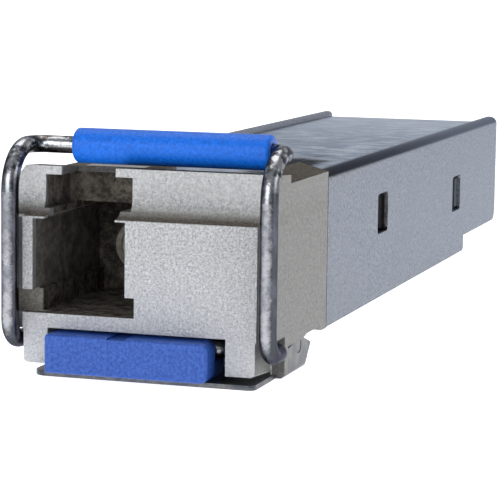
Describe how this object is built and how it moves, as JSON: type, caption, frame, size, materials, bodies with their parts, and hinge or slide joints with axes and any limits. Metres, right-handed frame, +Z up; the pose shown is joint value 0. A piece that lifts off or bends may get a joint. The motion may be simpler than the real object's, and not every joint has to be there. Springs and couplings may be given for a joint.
{
  "type": "optical transceiver module",
  "caption": "Pluggable optical transceiver: die-cast nose with one LC port, folded metal cover, edge connector, and a wire bail that tilts a latch lever.",
  "frame": {"origin": "middle of the bounding box, on the underside of the latch lever", "axes": "+X across the width, +Y from the optical port towards the edge connector, +Z up"},
  "size_m": [0.0146, 0.0574, 0.0125],
  "materials": {
    "cast_metal": "nickel-plated die-cast zinc, fine grain",
    "cover_sheet": "satin nickel-plated sheet steel",
    "wire_steel": "polished stainless wire",
    "blue_grip": "moulded blue plastic",
    "lever_sheet": "stamped stainless sheet",
    "pin_steel": "ground steel",
    "blue_block": "satin blue plastic",
    "spring_steel": "spring steel",
    "barrel_metal": "turned steel",
    "zirconia": "polished zirconia ceramic",
    "gasket_rubber": "conductive elastomer",
    "optics_metal": "machined stainless steel",
    "filter_glass": "coated glass",
    "can_metal": "gold-plated kovar",
    "gold": "gold plate",
    "flex_film": "polyimide film",
    "pad_foam": "closed-cell foam",
    "board_laminate": "green solder mask",
    "chip_epoxy": "moulded epoxy",
    "capacitor_ceramic": "ceramic",
    "resistor_film": "thick film",
    "inductor_ferrite": "ferrite",
    "pad_thermal": "silicone gap pad"
  },
  "bodies": {
    "module": {"housing_base": "cast_metal", "rear_cover": "cover_sheet", "latch_pivot_pin": "pin_steel", "latch_spring": "spring_steel", "receptacle_barrel": "barrel_metal", "split_sleeve": "zirconia", "fibre_stub": "zirconia", "emi_gasket": "gasket_rubber", "optics_body": "optics_metal", "wavelength_filter": "filter_glass", "laser_can": "can_metal", "laser_leads": "gold", "laser_flex": "flex_film", "receiver_can": "can_metal", "receiver_leads": "gold", "receiver_flex": "flex_film", "optics_pad": "pad_foam", "main_board": "board_laminate", "host_contacts": "gold", "laser_driver_chip": "chip_epoxy", "controller_chip": "chip_epoxy", "receiver_amplifier_chip": "chip_epoxy", "memory_chip": "chip_epoxy", "chip_capacitors": "capacitor_ceramic", "chip_resistors": "resistor_film", "power_inductors": "inductor_ferrite", "thermal_pad": "pad_thermal"},
    "bail": {"bail_wire": "wire_steel"},
    "sleeve": {"bail_sleeve": "blue_grip"},
    "latch": {"latch_lever": "lever_sheet", "release_block": "blue_block"}
  },
  "joints": [
    {"name": "bail_hinge", "type": "hinge", "parent": "module", "child": "bail", "pos_m": [-0.0001, -0.02593, 0.00165], "axis": [1, 0, 0], "range_deg": [0, 90]},
    {"name": "latch_tilt", "type": "hinge", "parent": "module", "child": "latch", "pos_m": [-0.0001, -0.02183, 0.0013], "axis": [1, 0, 0], "range_deg": [0, 5], "deforming": ["latch_spring"]},
    {"name": "sleeve_slide", "type": "slide", "parent": "bail", "child": "sleeve", "axis": [1, 0, 0], "range_m": [-0.0015, 0]}
  ],
  "couplings": [
    {"joint": "latch_tilt", "follows": "bail_hinge", "ratio": 0.0555}
  ]
}
